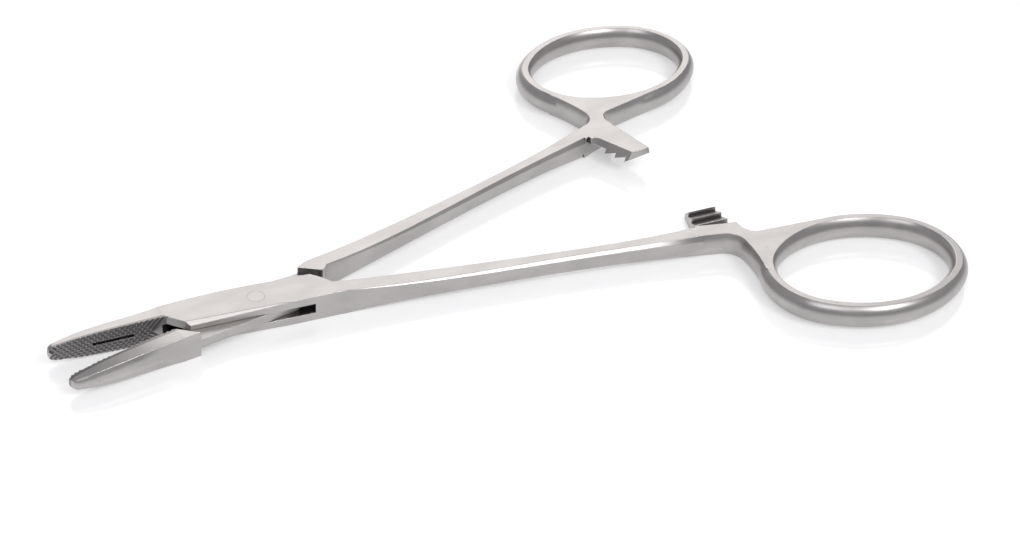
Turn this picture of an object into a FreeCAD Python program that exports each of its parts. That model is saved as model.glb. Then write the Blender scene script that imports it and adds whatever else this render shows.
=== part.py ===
import FreeCAD, Part
import math
import os
import Sketcher

# Ring-handled surgical needle holder with a box lock, about 140 mm long.
# Each half is drawn as it lies when the jaws are closed, with the pivot axis at the origin, the jaws
# towards -X, the finger rings towards +X and z = 0 at mid thickness. The half is then turned about
# the pivot by half the opening and lifted, so that the underside of the box lies at z = 0.

SIZES = [
    ("half_opening", 6.5, "degrees that each half stands open from closed"),
    ("jaw_reach", 31.4, "pivot to jaw tip"),
    ("box_half_height", 2.1, "half the thickness at the lock"),
    ("grip_half_height", 1.9, "half the thickness of ring, neck and ratchet bar"),
    ("jaw_gap", 0.03, "each jaw face back from the closing plane"),
    ("pin_radius", 1.3, "rivet shank"),
    ("running_gap", 0.05, "tongue to rivet, and tongue to each cheek"),
    ("cheek_thickness", 1.3, "each wall of the box"),
    ("lock_half_width", 3.0, "pivot line to the box walls"),
    ("lock_gap", 0.35, "closed gap between the shoulders of the two halves"),
    ("front_shoulder", 13.8, "pivot to the shoulder corner at the jaw face"),
    ("rear_shoulder", 12.1, "pivot to the shoulder corner at the shank"),
    ("shoulder_run", 2.7, "length along X of the oblique shoulders"),
    ("slot_end", 8.2, "pivot to the rear end of the slot window"),
    ("tongue_flare", 0.45, "tongue flank wider beside the rivet than at the jaw"),
    ("bevel_width", 0.85, "polished bevel on the near cheek edge, at the jaw end"),
    ("bevel_end", 4.0, "where that bevel runs out"),
    ("jaw_root_width", 2.81, "top facet of the jaw at the lock"),
    ("jaw_mid_width", 2.4, "top facet a third of the way along the jaw"),
    ("jaw_fore_width", 2.1, "top facet two thirds of the way along the jaw"),
    ("jaw_nose_width", 1.5, "top facet where the nose starts"),
    ("jaw_mid_half_height", 2.04, "half height of the jaw face, a third of the way along"),
    ("jaw_fore_half_height", 1.76, "half height of the jaw face, two thirds of the way along"),
    ("jaw_nose_half_height", 1.33, "half height of the jaw face where the nose starts"),
    ("jaw_crown", 0.35, "drop of the top facet towards the flank"),
    ("jaw_flank", 0.45, "bulge of the flank beyond the top facet"),
    ("tooth_pitch", 0.84, "spacing of the jaw grooves along the jaw"),
    ("tooth_depth", 0.23, "depth of the jaw grooves"),
    ("teeth_start", 1.0, "first groove back from the tip"),
    ("needle_groove_start", 6.3, "start of the long groove back from the tip"),
    ("needle_groove_length", 6.8, "length of the long groove"),
    ("needle_groove_half_height", 0.24, "half its height"),
    ("needle_groove_depth", 0.55, "its depth"),
    ("shank_root_inner", 0.95, "pivot line to the inner side of the shank, at the lock"),
    ("shank_root_width", 2.6, "shank width at the lock"),
    ("shank_neck_inner", 7.2, "pivot line to the inner side of the shank, at the neck"),
    ("shank_neck_width", 3.4, "shank width at the neck"),
    ("shank_waist_width", 2.6, "shank width half way"),
    ("shank_waist_half_height", 1.42, "half the shank thickness half way"),
    ("shank_edge", 0.45, "chamfer of the shank edges half way"),
    ("ring_near_end", 75.0, "pivot to the jaw end of the ring's centreline, along the closed holder"),
    ("ring_near_side", 13.35, "pivot line to the nearest side of the ring's centreline"),
    ("ring_half_length", 15.75, "centreline of the ring bar"),
    ("ring_half_width", 12.0, "centreline of the ring bar"),
    ("ring_end_radius", 10.0, "centreline radius at the ends of the oval"),
    ("ring_bar_half_width", 1.45, "ring bar, across"),
    ("ring_flat", 0.5, "half the flat on top of the ring bar"),
    ("flat_shift", 0.12, "that flat towards the finger hole"),
    ("neck_x", 70.5, "pivot to the start of the neck"),
    ("neck_flat", 0.35, "half the flat on top of the neck's edge bars"),
    ("neck_bulge", 0.55, "bulge of the neck's sides beyond that flat"),
    ("front_fillet", 3.6, "neck corner towards the jaws"),
    ("back_fillet", 2.75, "neck corner behind the ratchet bar"),
    ("ratchet_x", 72.5, "pivot to the jaw side of the ratchet bar's root"),
    ("ratchet_taper", 1.5, "how far that side slants back towards the bar's end"),
    ("upper_bar_lean", 0.55, "how far the upper bar's shank side spreads, for each mm down"),
    ("lower_bar_lean", 0.15, "how far the lower bar's shank side spreads, for each mm down"),
    ("lower_bar_end", 78.4, "pivot to the far side of the lower bar"),
    ("upper_bar_end", 77.3, "pivot to the far side of the upper bar"),
    ("ratchet_pitch", 1.92, "tooth spacing"),
    ("ratchet_depth", 0.75, "tooth depth"),
    ("ratchet_gap", 0.1, "gap between the tooth tips of the two bars"),
    ("lower_first_tooth", 0.85, "pivot line to the first tooth of the lower bar"),
    ("upper_first_tooth", 0.1, "pivot line to the first tooth of the upper bar"),
    ("ratchet_nose", 1.3, "bar end beyond its first tooth"),
]
RATCHET_TEETH = 3
GROOVE_COUNT = 18
# The jaw's outline starts this much inside that of the lock.
ROOT_LEDGE = 0.006


class Size:
    """A length with the sheet formula that gives it, so that a sketch is drawn where it will stay."""

    def __init__(self, value, formula):
        self.value = value
        self.formula = formula

    def joined(self, other, sign, value):
        return Size(value, "(" + self.formula + " " + sign + " " + other.formula + ")")

    def __add__(self, other):
        other = as_size(other)
        return self.joined(other, "+", self.value + other.value)

    def __radd__(self, other):
        return as_size(other) + self

    def __sub__(self, other):
        other = as_size(other)
        return self.joined(other, "-", self.value - other.value)

    def __rsub__(self, other):
        return as_size(other) - self

    def __mul__(self, other):
        other = as_size(other)
        return self.joined(other, "*", self.value * other.value)

    def __rmul__(self, other):
        return as_size(other) * self

    def __truediv__(self, other):
        other = as_size(other)
        return self.joined(other, "/", self.value / other.value)

    def __neg__(self):
        return as_size(0) - self


def as_size(number):
    if isinstance(number, Size):
        return number
    return Size(float(number), "%.6f" % number)


doc = FreeCAD.newDocument("needle_holder")
sheet = doc.addObject("Spreadsheet::Sheet", "Sizes")
sizes = {}
for row, (name, value, meaning) in enumerate(SIZES, start=1):
    sheet.set("A%d" % row, meaning)
    sheet.set("B%d" % row, str(value))
    sheet.setAlias("B%d" % row, name)
    sizes[name] = Size(float(value), "Sizes." + name)
doc.recompute()


def size(name):
    return sizes[name]


def origin_feature(body, role):
    for feature in body.Origin.OriginFeatures:
        if feature.Role == role:
            return feature
    raise ValueError(role)


def bind(feature, prop, length):
    """Tie one property of a feature to the sheet."""
    length = as_size(length)
    feature.setExpression(prop, length.formula)


def new_sketch(body, name, plane, offset):
    sketch = body.newObject("Sketcher::SketchObject", name)
    sketch.AttachmentSupport = [(origin_feature(body, plane), "")]
    sketch.MapMode = "FlatFace"
    offset = as_size(offset)
    sketch.AttachmentOffset = FreeCAD.Placement(FreeCAD.Vector(0, 0, offset.value), FreeCAD.Rotation())
    bind(sketch, "AttachmentOffset.Base.z", offset)
    return sketch


def bowed(start, end, bow):
    """An arc from start to end, whose middle stands bow to the left of the straight line."""
    middle = (start + end) * 0.5
    along = (end - start).normalize()
    return Part.Arc(start, middle + FreeCAD.Vector(-along.y, along.x, 0) * bow, end)


def end_numbers(sketch, index, start):
    """Which of a piece's two ends lies at start comes first."""
    forward = sketch.getPoint(index, 1).distanceToPoint(start) < sketch.getPoint(index, 2).distanceToPoint(start)
    return (1, 2) if forward else (2, 1)


def draw(sketch, corners, bows=None):
    """A closed outline through the corners. A side named in bows is an arc, and bows gives its rise."""
    bows = bows or {}
    corners = [(as_size(x), as_size(y)) for x, y in corners]
    points = [FreeCAD.Vector(x.value, y.value, 0) for x, y in corners]
    count = len(corners)
    first = sketch.GeometryCount
    ends = []
    for side in range(count):
        start = points[side]
        end = points[(side + 1) % count]
        if side in bows:
            index = sketch.addGeometry(bowed(start, end, as_size(bows[side]).value), False)
        else:
            index = sketch.addGeometry(Part.LineSegment(start, end), False)
        ends.append(end_numbers(sketch, index, start))
    for side in range(count):
        index = first + side
        following = (side + 1) % count
        sketch.addConstraint(Sketcher.Constraint(
            "Coincident", index, ends[side][1], first + following, ends[following][0]))
        for kind, length in (("DistanceX", corners[side][0]), ("DistanceY", corners[side][1])):
            at = sketch.addConstraint(Sketcher.Constraint(kind, index, ends[side][0], length.value))
            bind(sketch, "Constraints[%d]" % at, length)
        if side in bows:
            tie_radius(sketch, index, corners[side], corners[following], as_size(bows[side]))
    return sketch


def tie_radius(sketch, index, start, end, bow):
    """The radius of an arc follows from its chord and its rise."""
    run = end[0] - start[0]
    climb = end[1] - start[1]
    rise = bow if bow.value > 0 else -bow
    radius = ((run * run + climb * climb) / 4 + rise * rise) / (2 * rise)
    at = sketch.addConstraint(Sketcher.Constraint("Radius", index, radius.value))
    bind(sketch, "Constraints[%d]" % at, radius)


def through(body, name, sketch, height, cut=False):
    """A pad or pocket of the whole height, half above and half below its sketch."""
    feature = body.newObject("PartDesign::Pocket" if cut else "PartDesign::Pad", name)
    feature.Profile = sketch
    feature.SideType = "Symmetric"
    bind(feature, "Length", height)
    return feature


def loft(body, name, sections, cut=False, ruled=False):
    feature = body.newObject("PartDesign::SubtractiveLoft" if cut else "PartDesign::AdditiveLoft", name)
    feature.Profile = sections[0]
    feature.Sections = sections[1:]
    feature.Ruled = ruled
    return feature


class Half:
    """One forged half. hand is 1 where the shank lies towards -Y and the jaw towards +Y, else -1."""

    def __init__(self, label, hand):
        self.body = doc.addObject("PartDesign::Body", label)
        self.body.Label = label
        self.hand = hand

    def plan(self, name, corners, bows=None, level=0):
        """A sketch seen from above, at a level over mid thickness."""
        sketch = new_sketch(self.body, name, "XY_Plane", level)
        bows = bows or {}
        placed = [(x, self.hand * as_size(y)) for x, y in corners]
        return draw(sketch, placed, {side: self.hand * as_size(bow) for side, bow in bows.items()})

    def path(self, name, points, bows):
        """An open chain whose pieces run smoothly into each other, for a bar to follow."""
        sketch = new_sketch(self.body, name, "XY_Plane", 0)
        points = [FreeCAD.Vector(as_size(x).value, self.hand * as_size(y).value, 0) for x, y in points]
        ends = []
        for piece in range(len(points) - 1):
            start = points[piece]
            end = points[piece + 1]
            if piece in bows:
                index = sketch.addGeometry(bowed(start, end, self.hand * bows[piece]), False)
            else:
                index = sketch.addGeometry(Part.LineSegment(start, end), False)
            ends.append(end_numbers(sketch, index, start))
        for piece in range(len(points) - 2):
            sketch.addConstraint(Sketcher.Constraint(
                "Tangent", piece, ends[piece][1], piece + 1, ends[piece + 1][0]))
        return sketch, ends

    def fix_end(self, path, piece, which, x, y):
        sketch, ends = path
        for kind, length in (("DistanceX", as_size(x)), ("DistanceY", self.hand * as_size(y))):
            at = sketch.addConstraint(Sketcher.Constraint(kind, piece, ends[piece][which], length.value))
            bind(sketch, "Constraints[%d]" % at, length)

    def fix_radius(self, path, piece, radius):
        at = path[0].addConstraint(Sketcher.Constraint("Radius", piece, radius.value))
        bind(path[0], "Constraints[%d]" % at, radius)

    def level_centre(self, path, piece):
        """The arc ends square to the X axis."""
        sketch, ends = path
        sketch.addConstraint(Sketcher.Constraint("Horizontal", piece, 3, piece, ends[piece][1]))

    def section(self, name, station, corners, bows=None):
        """A sketch across the half, at a station along X."""
        sketch = new_sketch(self.body, name, "YZ_Plane", station)
        bows = bows or {}
        placed = [(self.hand * as_size(y), z) for y, z in corners]
        return draw(sketch, placed, {side: self.hand * as_size(bow) for side, bow in bows.items()})


def jaw_section(half, name, station, width, half_height, crown, flank):
    """Flat serrated face, sloping top and bottom facets and a bulging flank."""
    face = size("jaw_gap")
    edge = half_height - crown
    corners = [
        (face, -half_height),
        (face + width, -edge),
        (face + width, edge),
        (face, half_height),
    ]
    return half.section(name, station, corners, {1: -flank})


def add_jaw(half):
    reach = size("jaw_reach")
    crown = size("jaw_crown")
    flank = size("jaw_flank")
    height = size("box_half_height")
    nose = size("jaw_nose_half_height")
    nose_width = size("jaw_nose_width")
    front = size("front_shoulder")
    third = -front - 0.352 * (reach - front)
    two_thirds = -front - 0.693 * (reach - front)
    root = [
        jaw_section(half, "jaw_root", -front - 0.4, size("jaw_root_width"),
                    height - ROOT_LEDGE, ROOT_LEDGE, ROOT_LEDGE),
        jaw_section(half, "jaw_mid", third, size("jaw_mid_width"), size("jaw_mid_half_height"),
                    0.8 * crown, flank),
        jaw_section(half, "jaw_fore", two_thirds, size("jaw_fore_width"), size("jaw_fore_half_height"),
                    crown, flank),
        jaw_section(half, "jaw_nose", -(reach - 1.5), nose_width, nose, crown, 0.9 * flank),
    ]
    loft(half.body, "jaw", root)
    tip = [
        jaw_section(half, "nose_start", -(reach - 1.5), nose_width, nose, crown, 0.9 * flank),
        jaw_section(half, "nose_round", -(reach - 0.6), 0.9 * nose_width, 0.86 * nose, 0.8 * crown, 0.75 * flank),
        jaw_section(half, "nose_turn", -(reach - 0.15), 0.72 * nose_width, 0.62 * nose, 0.5 * crown, 0.5 * flank),
        jaw_section(half, "nose_end", -reach, 0.5 * nose_width, 0.4 * nose, 0.3 * crown, 0.3 * flank),
    ]
    loft(half.body, "nose", tip, ruled=True)


def shank_section(half, name, station, inner, width, half_height, edge, drop=None):
    """An eight-sided bar section. Its chamfers are edge wide and drop high, or as high as wide."""
    drop = drop or edge
    corners = [
        (-inner - edge, half_height),
        (-inner - width + edge, half_height),
        (-inner - width, half_height - drop),
        (-inner - width, drop - half_height),
        (-inner - width + edge, -half_height),
        (-inner - edge, -half_height),
        (-inner, drop - half_height),
        (-inner, half_height - drop),
    ]
    return half.section(name, station, corners)


def add_shank(half):
    root_inner = size("shank_root_inner")
    spread = size("shank_neck_inner") - root_inner
    root_width = size("shank_root_width")
    waist_width = size("shank_waist_width")
    waist = size("shank_waist_half_height")
    edge = size("shank_edge")
    start = size("rear_shoulder") + 1.2
    length = size("neck_x") - start
    sections = [
        shank_section(half, "shank_root", start, root_inner, root_width, size("box_half_height"), 0.05),
        shank_section(half, "shank_20", start + 0.12 * length, root_inner + 0.07 * spread,
                      root_width + 0.35, waist + 0.26, 0.45 * edge),
        shank_section(half, "shank_30", start + 0.29 * length, root_inner + 0.24 * spread,
                      root_width + 0.4, waist, 0.7 * edge),
        shank_section(half, "shank_waist", start + 0.55 * length, root_inner + 0.56 * spread,
                      waist_width, waist, edge),
        shank_section(half, "shank_60", start + 0.82 * length, root_inner + 0.86 * spread,
                      waist_width + 0.1, waist + 0.13, 1.1 * edge),
        shank_section(half, "shank_neck", size("neck_x"), size("shank_neck_inner"), size("shank_neck_width"),
                      size("grip_half_height"), 1.0 * edge, 2 * edge),
    ]
    loft(half.body, "shank", sections)


def add_ring(half):
    """Four tangent arcs make the oval, and the bar has a flat top and bulging sides."""
    long_half = size("ring_half_length")
    wide_half = size("ring_half_width")
    end_radius = size("ring_end_radius")
    centre_x = size("ring_near_end") + long_half
    centre_y = -size("ring_near_side") - wide_half
    side_radius = ((long_half * long_half + wide_half * wide_half - 2 * long_half * end_radius)
                   / (2 * (wide_half - end_radius)))
    shift_x = long_half - end_radius
    shift_y = side_radius - wide_half
    reach = math.hypot(shift_x.value, shift_y.value)
    cosine = shift_x.value / reach
    sine = shift_y.value / reach
    path = new_sketch(half.body, "ring_path", "XY_Plane", 0)
    touch_x = shift_x.value + end_radius.value * cosine
    touch_y = end_radius.value * sine
    centre = FreeCAD.Vector(centre_x.value, half.hand * centre_y.value, 0)
    corners = [FreeCAD.Vector(x, y, 0) + centre for x, y in (
        (touch_x, -touch_y), (touch_x, touch_y), (-touch_x, touch_y), (-touch_x, -touch_y))]
    middles = [FreeCAD.Vector(x, y, 0) + centre for x, y in (
        (long_half.value, 0), (0, wide_half.value), (-long_half.value, 0), (0, -wide_half.value))]
    for side in range(4):
        path.addGeometry(Part.Arc(corners[side], middles[side], corners[(side + 1) % 4]), False)
    for side in range(4):
        path.addConstraint(Sketcher.Constraint("Tangent", side, 2, (side + 1) % 4, 1))
    centres = [
        (0, centre_x + shift_x, half.hand * centre_y),
        (1, centre_x, half.hand * centre_y - shift_y),
        (2, centre_x - shift_x, half.hand * centre_y),
    ]
    for arc, x, y in centres:
        for kind, length in (("DistanceX", x), ("DistanceY", y)):
            at = path.addConstraint(Sketcher.Constraint(kind, arc, 3, length.value))
            bind(path, "Constraints[%d]" % at, length)
    for arc, radius in ((0, end_radius), (3, side_radius)):
        at = path.addConstraint(Sketcher.Constraint("Radius", arc, radius.value))
        bind(path, "Constraints[%d]" % at, radius)

    flat = size("ring_flat")
    bar = size("ring_bar_half_width")
    grip = size("grip_half_height")
    middle = centre_x + long_half
    inside = middle - flat - size("flat_shift")
    outside = middle + flat - size("flat_shift")
    profile = new_sketch(half.body, "ring_section", "XZ_Plane", -half.hand * centre_y)
    draw(profile, [(inside, grip), (inside, -grip), (outside, -grip), (outside, grip)],
         {0: middle - bar - inside, 2: outside - middle - bar})
    ring = half.body.newObject("PartDesign::AdditivePipe", "ring")
    ring.Profile = profile
    ring.Spine = (path, ["Edge1", "Edge2", "Edge3", "Edge4"])


def edge_bar(half, name, path, profile_plane, offset, across):
    """A flat-topped bar with bulging sides, swept along one edge of the neck."""
    grip = size("grip_half_height")
    flat = size("neck_flat")
    bulge = size("neck_bulge")
    profile = new_sketch(half.body, name + "_section", profile_plane, offset)
    draw(profile, [(across - flat, grip), (across - flat, -grip), (across + flat, -grip), (across + flat, grip)],
         {0: -bulge, 2: -bulge})
    bar = half.body.newObject("PartDesign::AdditivePipe", name)
    bar.Profile = profile
    bar.Spine = (path, ["Edge1", "Edge2", "Edge3"])


def add_neck(half):
    """A flat web joins shank, ring and ratchet bar, and a bulging bar runs round its two hollow sides."""
    ring_long = size("ring_half_length")
    ring_wide = size("ring_half_width")
    ring_x = size("ring_near_end") + ring_long
    ring_y = size("ring_near_side") + ring_wide
    start_x = size("neck_x")
    start_y = -size("shank_neck_inner") - 0.75 * size("shank_neck_width")
    corner_x = size("ratchet_x") + 3.95
    corner_y = start_y - 4.2
    merge_x = size("ring_near_end") + 0.3
    merge_y = -ring_y + 0.283 * ring_wide
    front = half.path("neck_front_path", [
        (start_x, start_y), (corner_x - 2.83, corner_y + 3.52), (corner_x, corner_y), (merge_x, merge_y)],
        {1: 0.8, 2: 0.29})
    half.fix_end(front, 0, 0, start_x, start_y)
    half.fix_end(front, 1, 1, corner_x, corner_y)
    half.fix_end(front, 2, 1, merge_x, merge_y)
    half.fix_radius(front, 1, size("front_fillet"))
    half.level_centre(front, 1)
    edge_bar(half, "neck_front", front[0], "YZ_Plane", start_x, half.hand * start_y)

    leg_x = size("ratchet_x") + 4.55
    leg_y = -size("shank_neck_inner") - 1.4
    turn_y = leg_y - 1.3
    back_fillet = size("back_fillet")
    far_x = ring_x + 1.45
    far_y = -size("ring_near_side") - 0.05
    back = half.path("neck_back_path", [
        (leg_x, leg_y), (leg_x, turn_y), (leg_x + 2.55, turn_y - 2.74), (far_x, far_y)], {1: -0.74})
    half.fix_end(back, 0, 0, leg_x, leg_y)
    half.fix_end(back, 0, 1, leg_x, turn_y)
    half.fix_end(back, 2, 1, far_x, far_y)
    half.fix_radius(back, 1, back_fillet)
    edge_bar(half, "neck_back", back[0], "XZ_Plane", -half.hand * leg_y, leg_x)

    web = half.plan("neck_web_plan", [
        (start_x, -size("shank_neck_inner") - 0.05),
        (start_x + 1.7, -size("shank_neck_inner") - 0.5),
        (leg_x, leg_y - 0.1),
        (leg_x, turn_y),
        (leg_x + 1.2, turn_y - 1.9),
        (leg_x + 2.75, turn_y - 2.6),
        (ring_x - 0.298 * ring_long, far_y + 0.35),
        (ring_x, far_y + 0.05),
        (ring_x - 0.546 * ring_long, 0.833 * ring_wide - ring_y),
        (ring_x - 0.749 * ring_long, 0.671 * ring_wide - ring_y),
        (ring_x - 0.873 * ring_long, 0.488 * ring_wide - ring_y),
        (merge_x, merge_y),
        (corner_x - 0.2, corner_y - 3.4),
        (corner_x, corner_y),
        (corner_x - 0.84, corner_y + 2.3),
        (corner_x - 2.25, corner_y + 3.34),
        (start_x, start_y - 0.1),
    ])
    through(half.body, "neck_web", web, 2 * size("grip_half_height"))


def add_ratchet(half, first_tooth, upward, bar_end, slant, lean):
    """Saw teeth: a steep side towards the shank, and a slope towards the bar's end."""
    sign = -1 if upward else 1
    grip = size("grip_half_height")
    gap = size("ratchet_gap") / 2
    pitch = size("ratchet_pitch")
    root = gap + size("ratchet_depth")
    inner = size("shank_neck_inner")
    base = -inner - 1.6
    crest = -first_tooth
    end = crest + size("ratchet_nose")
    corners = [(base, sign * grip), (end - 0.35, sign * grip), (end, sign * (root + 0.25))]
    for tooth in range(RATCHET_TEETH):
        corners.append((crest - tooth * pitch, sign * gap))
        corners.append((crest - tooth * pitch - 0.12, sign * root))
    corners.append((base, sign * root))
    start = size("ratchet_x") - 1.2
    profile = half.section("ratchet_teeth", start, corners)
    bar = half.body.newObject("PartDesign::Pad", "ratchet_bar")
    bar.Profile = profile
    bind(bar, "Length", bar_end - start)
    tip = size("ratchet_x") + size("ratchet_taper")
    levels = []
    for name, level in (("ratchet_side_top", grip + 0.4), ("ratchet_side_foot", -grip - 0.4)):
        shift = lean * (level - grip)
        levels.append(half.plan(name, [
            (start - 3, -inner + 0.35),
            (start + shift + 0.1, -inner + 0.35),
            (start + shift + 1.2, -inner + 1.4),
            (tip + shift, end - slant),
            (bar_end, end),
            (bar_end, end + 1),
            (start - 3, end + 1),
        ], {1: -0.25}, level=level))
    loft(half.body, "ratchet_side", levels, cut=True, ruled=True)


def add_serration(half):
    """Two sets of slanting V grooves cross on the jaw face, and a long groove runs along its middle."""
    reach = size("jaw_reach")
    pitch = size("tooth_pitch")
    face = size("jaw_gap")
    first = -(reach - size("teeth_start"))
    mouth = 0.84 * pitch
    for name, lean in (("rising", 1), ("falling", -1)):
        corners = [(first - mouth, face - 0.1), (first + mouth, face - 0.1), (first, face + size("tooth_depth"))]
        groove = half.body.newObject("PartDesign::Pocket", name + "_groove")
        groove.Profile = half.plan(name + "_groove_section", corners)
        groove.UseCustomVector = True
        groove.AlongSketchNormal = True
        groove.Direction = FreeCAD.Vector(lean, 0, 1)
        groove.SideType = "Symmetric"
        bind(groove, "Length", 3 * size("box_half_height"))
        pattern = half.body.newObject("PartDesign::LinearPattern", name + "_grooves")
        pattern.Originals = [groove]
        pattern.Direction = (origin_feature(half.body, "X_Axis"), [""])
        pattern.Mode = "Spacing"
        bind(pattern, "Offset", pitch)
        pattern.Occurrences = GROOVE_COUNT
        half.body.Tip = pattern
    start = -(reach - size("needle_groove_start"))
    end = start + size("needle_groove_length")
    depth = size("needle_groove_depth")
    long_groove = half.plan("needle_groove_plan", [
        (start, face - 0.1), (end, face - 0.1), (end - depth, face + depth), (start + depth, face + depth)])
    through(half.body, "needle_groove", long_groove, 2 * size("needle_groove_half_height"), cut=True)


def add_pin_hole(half, radius):
    sketch = new_sketch(half.body, "pin_hole_circle", "XY_Plane", 0)
    sketch.addGeometry(Part.Circle(FreeCAD.Vector(0, 0, 0), FreeCAD.Vector(0, 0, 1), radius.value), False)
    sketch.addConstraint(Sketcher.Constraint("Coincident", 0, 3, -1, 1))
    at = sketch.addConstraint(Sketcher.Constraint("Radius", 0, radius.value))
    bind(sketch, "Constraints[%d]" % at, radius)
    through(half.body, "pin_hole", sketch, 3 * size("box_half_height"), cut=True)


def place(half):
    """Turn the half open about the pivot, and lift it on to the resting plane."""
    angle = -half.hand * size("half_opening")
    lift = FreeCAD.Vector(0, 0, size("box_half_height").value)
    half.body.Placement = FreeCAD.Placement(lift, FreeCAD.Rotation(FreeCAD.Vector(0, 0, 1), angle.value))
    bind(half.body, "Placement.Base.z", size("box_half_height"))
    bind(half.body, "Placement.Rotation.Angle", angle)


def make_box_half():
    half = Half("box_half", 1)
    add_jaw(half)
    wall = size("lock_half_width")
    front = size("front_shoulder")
    run = size("shoulder_run")
    rear = size("rear_shoulder")
    height = size("box_half_height")
    inner = size("shank_root_inner")
    outer = inner + size("shank_root_width")
    cheek = half.plan("box_plan", [
        (-front, size("jaw_gap")),
        (-front + run, -wall + 0.2),
        (rear, -outer + 0.08),
        (rear + 1.2, -outer),
        (rear + 1.2, -inner),
        (rear - 0.1, -inner + 0.35),
        (rear - 2.6, wall - 0.45),
        (rear - 5.2, wall + 0.05),
        (rear - 8.5, wall - 0.2),
        (-front - 0.4, wall - 0.15),
        (-front - 0.4, size("jaw_gap")),
    ], {4: -0.12, 5: -0.15, 6: 0.12, 8: -0.4})
    through(half.body, "box", cheek, 2 * height)
    add_shank(half)
    add_neck(half)
    add_ring(half)
    add_ratchet(half, size("lower_first_tooth"), True, size("lower_bar_end"), 0.1,
                size("lower_bar_lean"))

    slot_end = size("slot_end")
    slot = half.plan("slot_plan", [
        (-front - 1.6, -wall - 2),
        (slot_end, -wall - 2),
        (slot_end, -wall),
        (rear + 0.2, -inner + 0.15),
        (rear + 1.5, wall + 3),
        (-9.4, wall + 3),
        (-9.4, wall - 0.4),
        (-front - 0.2, 0.35),
        (-front - 1.6, -0.6),
    ])
    through(half.body, "slot", slot, 2 * (height - size("cheek_thickness")), cut=True)

    bevel = size("bevel_width")
    end = size("bevel_end")
    for name, sign in (("upper", 1), ("lower", -1)):
        wide = half.section(name + "_bevel_start", -front - 0.5, [
            (-wall + 0.2 + bevel, sign * (height + 0.01)),
            (-wall - 0.6, sign * (height + 0.5)),
            (-wall - 0.01 + 0.1, sign * (height - bevel)),
        ])
        thin = half.section(name + "_bevel_end", end, [
            (-wall - 0.10, sign * (height + 0.01)),
            (-wall - 0.6, sign * (height + 0.5)),
            (-wall - 0.2, sign * (height - 0.08)),
        ])
        loft(half.body, name + "_bevel", [wide, thin], cut=True, ruled=True)
    add_serration(half)
    add_pin_hole(half, size("pin_radius"))
    place(half)
    return half.body


def make_tongue_half():
    half = Half("tongue_half", -1)
    add_jaw(half)
    wall = size("lock_half_width")
    front = size("front_shoulder")
    run = size("shoulder_run")
    rear = size("rear_shoulder")
    gap = size("lock_gap")
    inner = size("shank_root_inner")
    outer = inner + size("shank_root_width")
    thick = 2 * (size("box_half_height") - size("cheek_thickness") - size("running_gap"))
    add_shank(half)
    add_neck(half)
    add_ring(half)
    add_ratchet(half, size("upper_first_tooth"), False, size("upper_bar_end"), 0.8,
                size("upper_bar_lean"))
    knuckle = half.plan("knuckle_plan", [
        (-front - 0.4, size("jaw_gap")),
        (-front + run, size("jaw_gap")),
        (-front + run, wall),
        (-front - 0.4, wall - 0.15),
    ])
    through(half.body, "knuckle", knuckle, 2 * size("box_half_height"))
    flank = wall - 0.25
    broad = flank + size("tongue_flare")
    tongue = half.plan("tongue_plan", [
        (-front - 0.6, size("jaw_gap")),
        (-front + 0.2 + gap, -0.2),
        (-9.0, -wall + 0.7),
        (-7.5, -wall + 0.2),
        (8, -wall),
        (rear + 0.6, -outer + 0.05),
        (rear + 0.6, -inner - 0.05),
        (rear - 0.3, -inner + 0.1),
        (size("slot_end"), broad - 1.3),
        (5.5, broad),
        (0.3, broad),
        (-front + run, wall - 0.02),
        (-front - 0.3, wall - 0.2),
    ])
    heel = half.plan("heel_plan", [
        (rear - 2.8, -wall + 0.15),
        (rear, -0.1),
        (rear + 1.2, -inner),
        (rear + 1.2, -outer),
        (rear - 1.0, -outer + 0.15),
    ], {1: 0.1})
    through(half.body, "heel", heel, 2 * size("box_half_height"))
    # The shoulders: outside the tongue the lock zone is cleared above and below it.
    cleared = [
        (-front - gap + 0.05, -0.8),
        (-front - gap, 0),
        (-front - gap + run, wall),
        (-front - gap + run + 0.3, wall + 1.5),
        (rear + 0.5, wall + 1.5),
        (rear + 0.5, 0),
        (rear - 0.1, -0.2),
        (rear - 2.7, -wall + 0.2),
        (rear - 2.9, -wall - 1.5),
        (-front - gap + 0.05, -wall - 1.5),
    ]
    level = size("box_half_height") + 0.5
    for name, sign in (("over", 1), ("under", -1)):
        sketch = half.plan(name + "_tongue_plan", cleared, level=sign * level)
        cut = half.body.newObject("PartDesign::Pocket", name + "_tongue")
        cut.Profile = sketch
        cut.Reversed = sign < 0
        bind(cut, "Length", level - thick / 2)
    through(half.body, "tongue", tongue, thick)
    add_serration(half)
    add_pin_hole(half, size("pin_radius") + size("running_gap"))
    place(half)
    return half.body


def make_pivot_pin():
    pin = doc.addObject("Part::Cylinder", "pivot_pin")
    pin.Label = "pivot_pin"
    bind(pin, "Radius", size("pin_radius"))
    bind(pin, "Height", 2 * size("box_half_height"))
    pin.Placement = FreeCAD.Placement()
    return pin


parts = [make_box_half(), make_tongue_half(), make_pivot_pin()]
doc.recompute()

for item in doc.Objects:
    if "Invalid" in item.State or "Error" in item.State:
        raise RuntimeError(item.Name + " failed to build: " + item.getStatusString())
for part in parts:
    if part.Shape.isNull() or not part.Shape.isValid():
        raise RuntimeError(part.Label + " has no valid shape")

os.makedirs("parts", exist_ok=True)
for part in parts:
    part.Shape.exportStep("parts/" + part.Label + ".step")
    box = part.Shape.BoundBox
    print(part.Label, "solids", len(part.Shape.Solids), "volume", round(part.Shape.Volume, 2),
          "x %.2f %.2f y %.2f %.2f z %.2f %.2f" % (
              box.XMin, box.XMax, box.YMin, box.YMax, box.ZMin, box.ZMax))
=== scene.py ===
import math

import bpy
from mathutils import Matrix, Vector


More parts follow.
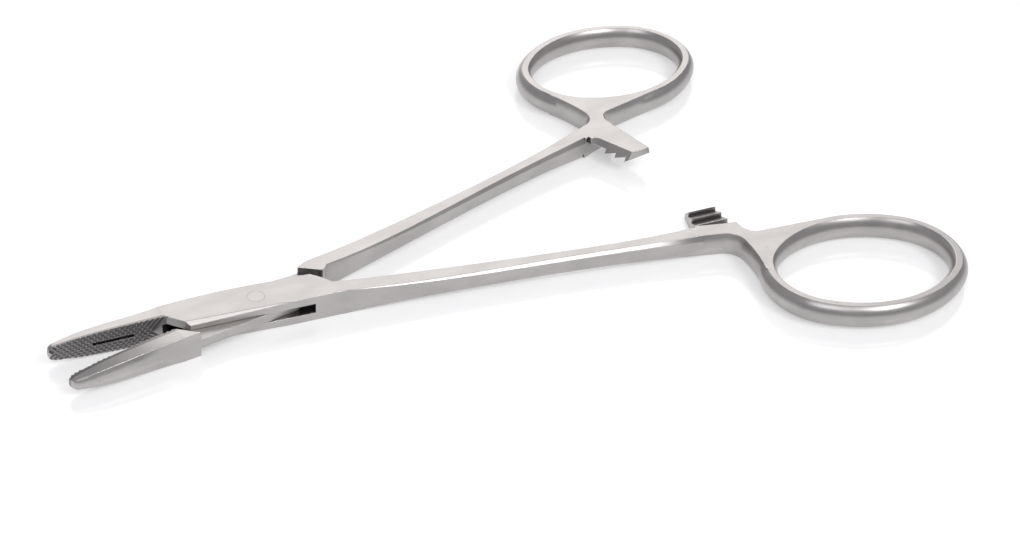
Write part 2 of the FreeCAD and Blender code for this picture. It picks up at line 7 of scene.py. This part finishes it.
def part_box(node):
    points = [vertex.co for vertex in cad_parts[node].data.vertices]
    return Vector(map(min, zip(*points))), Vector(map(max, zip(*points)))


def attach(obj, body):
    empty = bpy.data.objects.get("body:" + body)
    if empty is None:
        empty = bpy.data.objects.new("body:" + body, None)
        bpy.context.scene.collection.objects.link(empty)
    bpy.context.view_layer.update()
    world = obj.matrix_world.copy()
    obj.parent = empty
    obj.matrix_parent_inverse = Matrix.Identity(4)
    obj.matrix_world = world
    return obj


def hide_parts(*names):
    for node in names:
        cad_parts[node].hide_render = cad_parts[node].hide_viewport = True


# %% [markdown]
# ## The instrument comes in first
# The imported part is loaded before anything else, and its size is noted. Metres from here on, with
# +X from the jaws to the finger rings and the underside of the lock at z = 0.

# %% Load the part
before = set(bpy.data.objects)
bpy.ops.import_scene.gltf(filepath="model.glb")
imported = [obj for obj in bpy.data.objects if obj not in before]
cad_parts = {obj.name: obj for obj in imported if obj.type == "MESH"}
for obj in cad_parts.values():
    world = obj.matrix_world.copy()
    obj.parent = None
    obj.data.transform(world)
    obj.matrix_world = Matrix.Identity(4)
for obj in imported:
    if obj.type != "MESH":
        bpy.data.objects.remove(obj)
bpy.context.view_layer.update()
MM = 0.001
rivet_low, rivet_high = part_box("pivot_pin")
RIVET_RADIUS = rivet_high[0]
HALF_OPENING = math.radians(6.5)
print("pieces from the part:", sorted(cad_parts))
print("rivet", round((rivet_high[2] - rivet_low[2]) / MM, 2), "mm high, radius",
      round(RIVET_RADIUS / MM, 2), "mm")

# %% [markdown]
# ## Where the photo was taken from
# A long lens, a third of a right angle above the table, stands on the side of the lower half and
# looks along the instrument towards the rings. The lens is worked out from a frame 1020 pixels wide.

# %% Camera
AZIMUTH = math.radians(-34.36)
ELEVATION = math.radians(33.86)
ROLL = math.radians(3.32)
FOCAL_PIXELS = 2249.9
PHOTO_WIDTH = 1020
SENSOR = 36
CAMERA_PLACE = (-0.1228, -0.2455, 0.1946)


def camera_turn():
    """The camera's axes as the columns of a matrix."""
    back = Vector((math.sin(AZIMUTH) * math.cos(ELEVATION), -math.cos(AZIMUTH) * math.cos(ELEVATION),
                   math.sin(ELEVATION)))
    right = (-back).cross(Vector((0, 0, 1))).normalized()
    up = right.cross(-back)
    across = right * math.cos(ROLL) + up * math.sin(ROLL)
    upright = up * math.cos(ROLL) - right * math.sin(ROLL)
    return Matrix((across, upright, back)).transposed()


camera_data = bpy.data.cameras.new("photo_camera")
camera = bpy.data.objects.new("photo_camera", camera_data)
bpy.context.scene.collection.objects.link(camera)
camera.matrix_world = Matrix.Translation(CAMERA_PLACE) @ camera_turn().to_4x4()
camera_data.sensor_fit = "HORIZONTAL"
camera_data.sensor_width = SENSOR
camera_data.lens = FOCAL_PIXELS * SENSOR / PHOTO_WIDTH
camera_data.clip_start = 0.01
bpy.context.scene.camera = camera
print("camera stands at", [round(c, 4) for c in camera.location])

# %% [markdown]
# ## A short way to write materials
# Shader maths reads better as plain expressions. `Value` wraps one socket, so that `1 - mask * 0.5`
# adds the Math nodes it needs. `Finish` wraps one material, and its `node` adds any other node:
# settings first, then the values or links of its sockets.

# %% Shader helpers
class Value:
    """One number that varies over the surface."""

    def __init__(self, finish, socket):
        self.finish = finish
        self.socket = socket

    def maths(self, operation, first, second):
        made = self.finish.node("ShaderNodeMath", {"operation": operation}, {0: first, 1: second})
        return Value(self.finish, made.outputs[0])

    def __add__(self, other):
        return self.maths("ADD", self, other)

    def __radd__(self, other):
        return self.maths("ADD", other, self)

    def __sub__(self, other):
        return self.maths("SUBTRACT", self, other)

    def __rsub__(self, other):
        return self.maths("SUBTRACT", other, self)

    def __mul__(self, other):
        return self.maths("MULTIPLY", self, other)

    def __rmul__(self, other):
        return self.maths("MULTIPLY", other, self)

    def between(self, low, high):
        """0 below low, 1 above high, and a soft step in between."""
        made = self.finish.node("ShaderNodeMapRange", {"interpolation_type": "SMOOTHSTEP"},
                                {"Value": self, "From Min": low, "From Max": high})
        return Value(self.finish, made.outputs["Result"])


class Finish:
    """A node material, with its principled shader ready."""

    def __init__(self, name):
        self.material = bpy.data.materials.new(name)
        self.material.use_nodes = True
        self.tree = self.material.node_tree
        self.shader = self.tree.nodes["Principled BSDF"]

    def node(self, kind, settings=None, sockets=None):
        made = self.tree.nodes.new(kind)
        for key, setting in (settings or {}).items():
            setattr(made, key, setting)
        self.plug(made, sockets or {})
        return made

    def plug(self, target, sockets):
        for key, given in sockets.items():
            entry = target.inputs[key]
            if isinstance(given, Value):
                given = given.socket
            if isinstance(given, bpy.types.NodeSocket):
                self.tree.links.new(given, entry)
            else:
                entry.default_value = given

    def colour_mix(self, factor, first, second):
        """Blend two colours, each a socket or a plain colour."""
        made = self.node("ShaderNodeMix", {"data_type": "RGBA"}, {0: factor, 6: first, 7: second})
        return made.outputs[2]

    def noise(self, vector, scale, detail):
        made = self.node("ShaderNodeTexNoise", None, {
            "Vector": vector, "Scale": scale, "Detail": detail})
        return Value(self, made.outputs["Fac"])

    def millimetres(self, stretch=(1, 1, 1), turn=0.0):
        """Object coordinates in millimetres, turned about Z and stretched along the axes."""
        place = self.node("ShaderNodeTexCoord").outputs["Object"]
        made = self.node("ShaderNodeMapping", None, {
            "Vector": place,
            "Rotation": (0, 0, turn),
            "Scale": tuple(along / MM for along in stretch),
        })
        return made.outputs["Vector"]


print("helpers ready")

# %% [markdown]
# ## Satin stainless steel
# Forged instrument steel is blasted to a soft grey, brushed along its length, and given a polish
# again where hands and mops reach: all edges are smoother than the faces beside them, and their
# colour is lifted towards white, partly for that polish and partly as a painted highlight. Grooves
# and corners stay dull, and are darkened as painted shade. The Bevel node gives the rounded normal
# near the edges, and how far it leans from the plain normal says how near a point lies to them.
# Ambient Occlusion finds the hollows for that painted shade. Each half is turned back to where it
# lies with the jaws closed, and there the depth behind the jaw face says how deep a point lies in
# the grooves, whose bottoms get painted shade too.

# %% Steel
STEEL = (0.42, 0.402, 0.399, 1)
PALE_STEEL = (0.53, 0.511, 0.503, 1)
# Near-white colour for the edges: partly polish, partly a painted highlight.
POLISHED_AND_HIGHLIT_STEEL = (0.93, 0.915, 0.90, 1)
# Near-black: for pits and the rivet's ring, and as painted shade in grooves and hollows.
MARK_AND_SHADE_STEEL = (0.045, 0.04, 0.043, 1)
EDGE_RADIUS = 0.16 * MM
# Reach of the painted shade that darkens the hollows.
PAINTED_SHADE_REACH = 2.2 * MM
# Strength of the painted shade in the groove bottoms.
GROOVE_PAINTED_SHADE = 0.5
# In millimetres from the pivot, and behind the jaw face.
JAW_FACE_END = -14.0
GROOVE_DEPTH = 0.2
LONG_GROOVE_DEPTH = 0.6


def steel_finish(name, turn, jaw_side):
    finish = Finish(name)
    fine = finish.noise(finish.millimetres((1.2, 14, 14), turn), 1.0, 4.0)
    clouds = finish.noise(finish.millimetres((0.16, 0.3, 0.3), turn), 1.0, 3.0)
    speckle = finish.noise(finish.millimetres((2.4, 2.4, 2.4), turn), 1.0, 2.0)

    plain = finish.node("ShaderNodeNewGeometry").outputs["Normal"]
    bevel = finish.node("ShaderNodeBevel", {"samples": 6}, {"Radius": EDGE_RADIUS})
    rounded = bevel.outputs["Normal"]
    lean = finish.node("ShaderNodeVectorMath", {"operation": "DOT_PRODUCT"}, {0: plain, 1: rounded})
    # Edge mask: lifts edges towards near-white, partly polish and partly a painted highlight.
    edge_polish_and_highlight = (1 - Value(finish, lean.outputs["Value"])).between(0.05, 0.18)
    # Ambient Occlusion: hollows and corners are darkened towards near-black, as painted shade.
    shade = finish.node("ShaderNodeAmbientOcclusion", {"samples": 8, "only_local": True},
                        {"Distance": PAINTED_SHADE_REACH})
    out_of_painted_shade = Value(finish, shade.outputs["AO"]).between(0.3, 0.95)

    closed_place = finish.millimetres((1, 1, 1), turn)
    at_rest = finish.node("ShaderNodeSeparateXYZ", None, {"Vector": closed_place})
    along = Value(finish, at_rest.outputs["X"])
    depth = Value(finish, at_rest.outputs["Y"]) * jaw_side
    on_jaw = 1 - along.between(JAW_FACE_END - 0.4, JAW_FACE_END + 0.4)
    behind_grooves = depth.between(LONG_GROOVE_DEPTH, LONG_GROOVE_DEPTH + 0.1)
    # Groove bottoms, from their depth behind the jaw face: darkened as painted shade.
    groove_shade = depth.between(0.02, GROOVE_DEPTH) * (1 - behind_grooves) * on_jaw

    pits = speckle.between(0.70, 0.76) * clouds.between(0.5, 0.62)
    faces = finish.colour_mix(clouds.between(0.3, 0.7) * 0.6 + fine * 0.4, STEEL, PALE_STEEL)
    # Edges lifted towards near-white: partly polish, partly a painted highlight.
    polished_and_highlit = finish.colour_mix(edge_polish_and_highlight * 0.9, faces, POLISHED_AND_HIGHLIT_STEEL)
    pitted = finish.colour_mix(pits * 0.45, polished_and_highlit, MARK_AND_SHADE_STEEL)
    # Groove bottoms darkened: painted shade.
    groove_shaded = finish.colour_mix(groove_shade * GROOVE_PAINTED_SHADE, pitted, MARK_AND_SHADE_STEEL)
    # Hollows darkened towards near-black: painted shade.
    colour = finish.colour_mix(out_of_painted_shade, MARK_AND_SHADE_STEEL, groove_shaded)
    roughness = 0.24 + clouds * 0.08 + fine * 0.08 - edge_polish_and_highlight * 0.12
    roughness = roughness + pits * 0.15 + (1 - out_of_painted_shade) * 0.15
    height = fine * 0.7 + clouds * 0.3 - pits * 0.8
    bump = finish.node("ShaderNodeBump", None, {
        "Strength": 0.3, "Distance": 0.02 * MM, "Height": height, "Normal": rounded})
    finish.plug(finish.shader, {
        "Base Color": colour,
        "Metallic": 1.0,
        "Roughness": roughness,
        "Normal": bump.outputs["Normal"],
    })
    return finish


lower_steel = steel_finish("satin_steel_lower", HALF_OPENING, 1)
upper_steel = steel_finish("satin_steel_upper", -HALF_OPENING, -1)
print("steel nodes:", len(lower_steel.tree.nodes))

# %% [markdown]
# ## The rivet
# The rivet is peened over and ground flush with the box, so it shows only as a faint ring. Its ends
# keep the round marks of that grinding. The distance from the pivot axis gives them.

# %% Rivet finish
rivet = Finish("ground_rivet")
flat_place = rivet.millimetres((1, 1, 0))
length = rivet.node("ShaderNodeVectorMath", {"operation": "LENGTH"}, {0: flat_place})
distance = Value(rivet, length.outputs["Value"])
outwards = rivet.node("ShaderNodeCombineXYZ", None, {"X": distance}).outputs["Vector"]
rings = rivet.noise(outwards, 9.0, 3.0)
rim = distance.between(RIVET_RADIUS / MM - 0.16, RIVET_RADIUS / MM - 0.02)
rivet_faces = rivet.colour_mix(rings, STEEL, PALE_STEEL)
rivet_bump = rivet.node("ShaderNodeBump", None, {
    "Strength": 0.15, "Distance": 0.02 * MM, "Height": rings - rim})
rivet.plug(rivet.shader, {
    "Base Color": rivet.colour_mix(rim * 0.12, rivet_faces, MARK_AND_SHADE_STEEL),
    "Metallic": 1.0,
    "Roughness": 0.26 + rings * 0.1,
    "Normal": rivet_bump.outputs["Normal"],
})
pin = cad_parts["pivot_pin"]
pin.data.materials.clear()
pin.data.materials.append(rivet.material)
print("rivet nodes:", len(rivet.tree.nodes))

# %% [markdown]
# ## The two forged halves
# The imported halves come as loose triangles. Each is copied, its corners are merged, and it is shaded
# smooth up to a limit angle, so that the forged sweeps of jaw, shank and ring flow and the ground
# faces stay flat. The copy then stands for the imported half, and moves with its body.

# %% Halves
SMOOTH_LIMIT = math.radians(24)
MERGE = 0.002 * MM


def forged_half(name, node, body, finish):
    bpy.ops.object.select_all(action="DESELECT")
    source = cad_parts[node]
    source.select_set(True)
    bpy.context.view_layer.objects.active = source
    bpy.ops.object.duplicate()
    half = bpy.context.active_object
    half.name = name
    half.parent = None
    for key in list(half.keys()):
        del half[key]
    bpy.ops.mesh.customdata_custom_splitnormals_clear()
    bpy.ops.object.mode_set(mode="EDIT")
    bpy.ops.mesh.select_all(action="SELECT")
    bpy.ops.mesh.remove_doubles(threshold=MERGE)
    bpy.ops.object.mode_set(mode="OBJECT")
    bpy.ops.object.shade_smooth_by_angle(angle=SMOOTH_LIMIT)
    half.data.materials.clear()
    half.data.materials.append(finish.material)
    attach(half, body)
    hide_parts(node)
    print(name, len(half.data.polygons), "faces")


forged_half("lower_forging", "box_half", "lower_body", lower_steel)
forged_half("upper_forging", "tongue_half", "upper_body", upper_steel)

# %% [markdown]
# ## Floor and light
# A glossy white sheet lies under the instrument and mirrors it faintly. Polished steel shows what it
# mirrors, so each lamp stands where one set of faces looks. The wide window stands low behind the
# rings, for the flat tops. The strip stands above the camera's right, for the chamfers on the near
# edges, and the fill above its left, for the curve of the neck. The upright faces see only the floor,
# so they stay a middle grey.

# %% Floor
scene = bpy.context.scene
scene.view_settings.view_transform = "Standard"
bpy.ops.object.select_all(action="DESELECT")
bpy.ops.mesh.primitive_plane_add(size=3, location=(0.03, 0, 0))
floor = bpy.context.active_object
floor.name = "floor"
# What the lamps and the world leave short of white.
FLOOR_GLOW = 0.35
sheet = Finish("white_sheet")
seen = sheet.node("ShaderNodeLightPath")
rays = ("Is Camera Ray", "Is Glossy Ray", "Is Transmission Ray")
looked_at = sum(Value(sheet, seen.outputs[ray]) for ray in rays)
sheet.plug(sheet.shader, {
    "Base Color": (0.86, 0.86, 0.87, 1), "Roughness": 0.08, "IOR": 1.45,
    "Emission Color": sheet.colour_mix(looked_at, (0, 0, 0, 1), (1, 1, 1, 1)),
    "Emission Strength": FLOOR_GLOW})
floor.data.materials.append(sheet.material)

# %% Lamps
world = bpy.data.worlds.new("studio")
scene.world = world
world.use_nodes = True
surround = world.node_tree.nodes["Background"]
surround.inputs["Color"].default_value = (0.98, 0.98, 1.0, 1)
surround.inputs["Strength"].default_value = 0.42

MIDDLE = Vector((0.035, 0, 0))


def soft_lamp(name, place, width, height, power, colour):
    data = bpy.data.lights.new(name, "AREA")
    data.shape = "RECTANGLE"
    data.size = width
    data.size_y = height
    data.energy = power
    data.color = colour
    lamp = bpy.data.objects.new(name, data)
    scene.collection.objects.link(lamp)
    lamp.location = place
    lamp.rotation_euler = (MIDDLE - Vector(place)).to_track_quat("-Z", "Y").to_euler()


soft_lamp("window", (0.42, 0.80, 0.48), 0.9, 0.75, 2.8, (1.0, 0.985, 0.965))
soft_lamp("strip", (0.27, -0.56, 0.70), 0.42, 0.26, 1.9, (1.0, 0.99, 0.98))
soft_lamp("fill", (-0.36, -0.40, 0.82), 0.5, 0.4, 1.3, (0.97, 0.97, 1.0))
